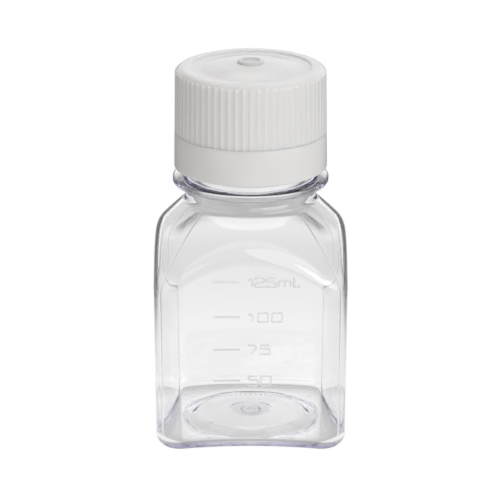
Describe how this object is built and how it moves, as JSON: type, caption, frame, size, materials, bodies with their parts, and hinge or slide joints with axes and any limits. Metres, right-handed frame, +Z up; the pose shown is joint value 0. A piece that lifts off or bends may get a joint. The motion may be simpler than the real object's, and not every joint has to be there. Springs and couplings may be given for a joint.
{
  "type": "square media bottle",
  "caption": "Square clear plastic bottle with a round neck, support ring and moulded volume marks, closed by a white ribbed screw cap with a tamper band.",
  "frame": {"origin": "centre of the base, on the plane that the corner feet stand on", "axes": "+Z up along the bottle's axis, -Y out of the face with the volume marks"},
  "size_m": [0.0534, 0.0534, 0.1055],
  "materials": {
    "clear_plastic": "clear, polished",
    "white_plastic": "satin",
    "liner_foam": "matt"
  },
  "bodies": {
    "bottle": {"bottle": "clear_plastic"},
    "liner": {"cap_liner": "liner_foam"},
    "cap": {"cap_shell": "white_plastic"},
    "band": {"tamper_band": "white_plastic"}
  },
  "joints": [
    {"name": "cap_lift", "type": "slide", "parent": "bottle", "child": "liner", "axis": [0, 0, 1], "range_m": [0, 0.0064]},
    {"name": "cap_turn", "type": "hinge", "parent": "liner", "child": "cap", "pos_m": [0, 0, 0.095], "axis": [0, 0, 1], "range_deg": [0, 540]},
    {"name": "band_turn", "type": "hinge", "parent": "bottle", "child": "band", "pos_m": [0, 0, 0.08], "axis": [0, 0, 1], "continuous": true}
  ],
  "couplings": [
    {"joint": "cap_lift", "follows": "cap_turn", "m_per_rad": 0.00067375}
  ]
}
